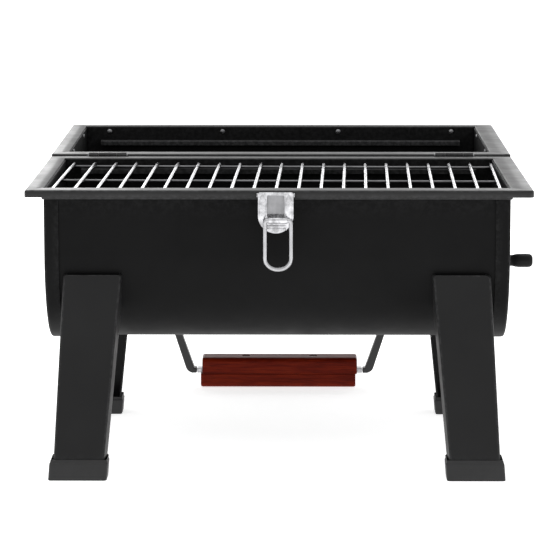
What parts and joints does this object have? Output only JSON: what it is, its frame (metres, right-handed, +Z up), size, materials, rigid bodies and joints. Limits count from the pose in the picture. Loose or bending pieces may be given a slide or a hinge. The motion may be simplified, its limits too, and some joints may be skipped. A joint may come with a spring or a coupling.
{
  "type": "folding camp grill",
  "caption": "Portable charcoal camp grill: rounded sheet-steel firebox on splayed legs, matching lid hinged open behind it, wire cooking grate, front latch and wooden carrying handle.",
  "frame": {"origin": "on the ground, in the middle of the rectangle that holds the open grill", "axes": "+X to the right seen from the latch, +Y from the firebox to the open lid, +Z up"},
  "size_m": [0.4626, 0.6016, 0.2606],
  "materials": {
    "enamel": "satin, lightly textured",
    "chrome": "plated, bright",
    "zinc": "plated",
    "wood": "stained and varnished",
    "plastic": "satin"
  },
  "bodies": {
    "firebox": {"firebox_shell": "enamel", "firebox_end_left": "enamel", "firebox_end_left_fold": "enamel", "firebox_end_right": "enamel", "firebox_end_right_fold": "enamel", "firebox_rim": "enamel", "firebox_ledge_front": "enamel", "firebox_ledge_rear": "enamel", "leg_front_left": "enamel", "leg_front_right": "enamel", "leg_rear_left": "enamel", "leg_rear_right": "enamel", "foot_cap_front_left": "plastic", "foot_cap_front_right": "plastic", "foot_cap_rear_left": "plastic", "foot_cap_rear_right": "plastic", "leg_bolt_front_left": "zinc", "leg_bolt_front_right": "zinc", "leg_bolt_rear_left": "zinc", "leg_bolt_rear_right": "zinc", "latch_base": "zinc", "latch_rivet_left": "zinc", "latch_rivet_right": "zinc", "latch_lever_pin": "zinc", "hinge_leaf_firebox_left": "enamel", "hinge_leaf_firebox_right": "enamel", "hinge_pin_left": "zinc", "hinge_pin_right": "zinc", "vent_rivet": "zinc"},
    "lid": {"lid_shell": "enamel", "lid_end_left": "enamel", "lid_end_left_fold": "enamel", "lid_end_right": "enamel", "lid_end_right_fold": "enamel", "lid_rim": "enamel", "lid_ledge_front": "enamel", "lid_ledge_rear": "enamel", "latch_keeper": "zinc", "handle_arm_left": "enamel", "handle_arm_right": "enamel", "handle_tang": "zinc", "grip_upper": "wood", "grip_lower": "wood", "grip_screw_left": "zinc", "grip_screw_right": "zinc", "handle_bolt_left_front": "zinc", "handle_bolt_left_rear": "zinc", "handle_bolt_right_front": "zinc", "handle_bolt_right_rear": "zinc", "hinge_leaf_lid_left": "enamel", "hinge_leaf_lid_right": "enamel"},
    "latch_lever": {"latch_lever": "zinc"},
    "latch_bail": {"latch_bail": "zinc"},
    "vent_damper": {"vent_disc": "enamel", "vent_knob": "plastic"},
    "cooking_grate": {"cooking_grate": "chrome"},
    "charcoal_grate": {"charcoal_grate": "enamel"}
  },
  "joints": [
    {"name": "lid_hinge", "type": "hinge", "parent": "firebox", "child": "lid", "pos_m": [-0.0073, 0.00963, 0.2581], "axis": [1, 0, 0], "range_deg": [0, 179.6]},
    {"name": "latch_lever_hinge", "type": "hinge", "parent": "firebox", "child": "latch_lever", "pos_m": [-0.0083, -0.27737, 0.2532], "axis": [-1, 0, 0], "range_deg": [0, 30]},
    {"name": "latch_bail_swing", "type": "hinge", "parent": "latch_lever", "child": "latch_bail", "pos_m": [-0.0063, -0.28517, 0.2317], "axis": [-1, 0, 0], "range_deg": [0, 165]},
    {"name": "vent_turn", "type": "hinge", "parent": "firebox", "child": "vent_damper", "pos_m": [0.2012, -0.13437, 0.1952], "axis": [1, 0, 0], "range_deg": [0, 60]},
    {"name": "cooking_grate_lift", "type": "slide", "parent": "firebox", "child": "cooking_grate", "axis": [0, 0, 1], "range_m": [0, 0.016]},
    {"name": "charcoal_grate_lift", "type": "slide", "parent": "firebox", "child": "charcoal_grate", "axis": [0, 0, 1], "range_m": [0, 0.03]}
  ]
}
